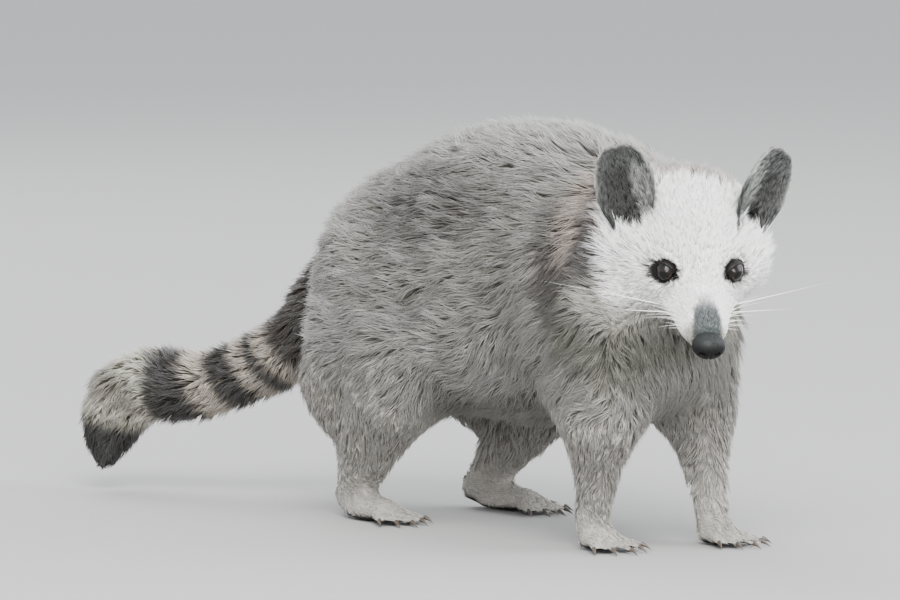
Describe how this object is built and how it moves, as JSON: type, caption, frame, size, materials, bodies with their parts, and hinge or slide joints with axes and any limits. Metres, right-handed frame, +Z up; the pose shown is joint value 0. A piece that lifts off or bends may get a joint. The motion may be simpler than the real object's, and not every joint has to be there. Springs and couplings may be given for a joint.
{
  "type": "raccoon, still model",
  "caption": "Life-size still model of a raccoon in mid-step, head turned to its right, back arched, ringed bushy tail hanging to the floor.",
  "frame": {"origin": "on the floor, under the middle of the whole body's box", "axes": "+Y towards the tail, -Y the way the body faces, +X the animal's left side, +Z up"},
  "size_m": [0.2344, 0.695, 0.315],
  "materials": {
    "coat_grey": "damp grizzled grey fur, matt",
    "coat_white": "short near-white fur, matt",
    "coat_legs": "short pale grey fur, matt",
    "coat_ear": "very short slate fur, matt",
    "coat_tail": "bushy cream fur with dark rings, matt",
    "eye": "very dark brown, glossy",
    "nose": "near-black damp pebbled skin"
  },
  "bodies": {
    "root": {"trunk": "coat_grey", "neck": "coat_grey", "head": "coat_white", "jaw": "coat_white", "nose": "nose", "eye_right": "eye", "ear_right": "coat_ear", "eye_left": "eye", "ear_left": "coat_ear", "fore_right_upper": "coat_grey", "fore_right_lower": "coat_legs", "fore_right_paw": "coat_legs", "fore_left_upper": "coat_grey", "fore_left_lower": "coat_legs", "fore_left_paw": "coat_legs", "hind_right_upper": "coat_grey", "hind_right_lower": "coat_legs", "hind_right_paw": "coat_legs", "hind_left_upper": "coat_grey", "hind_left_lower": "coat_legs", "hind_left_paw": "coat_legs", "tail_base": "coat_tail", "tail_middle": "coat_tail", "tail_tip": "coat_tail"}
  },
  "joints": []
}
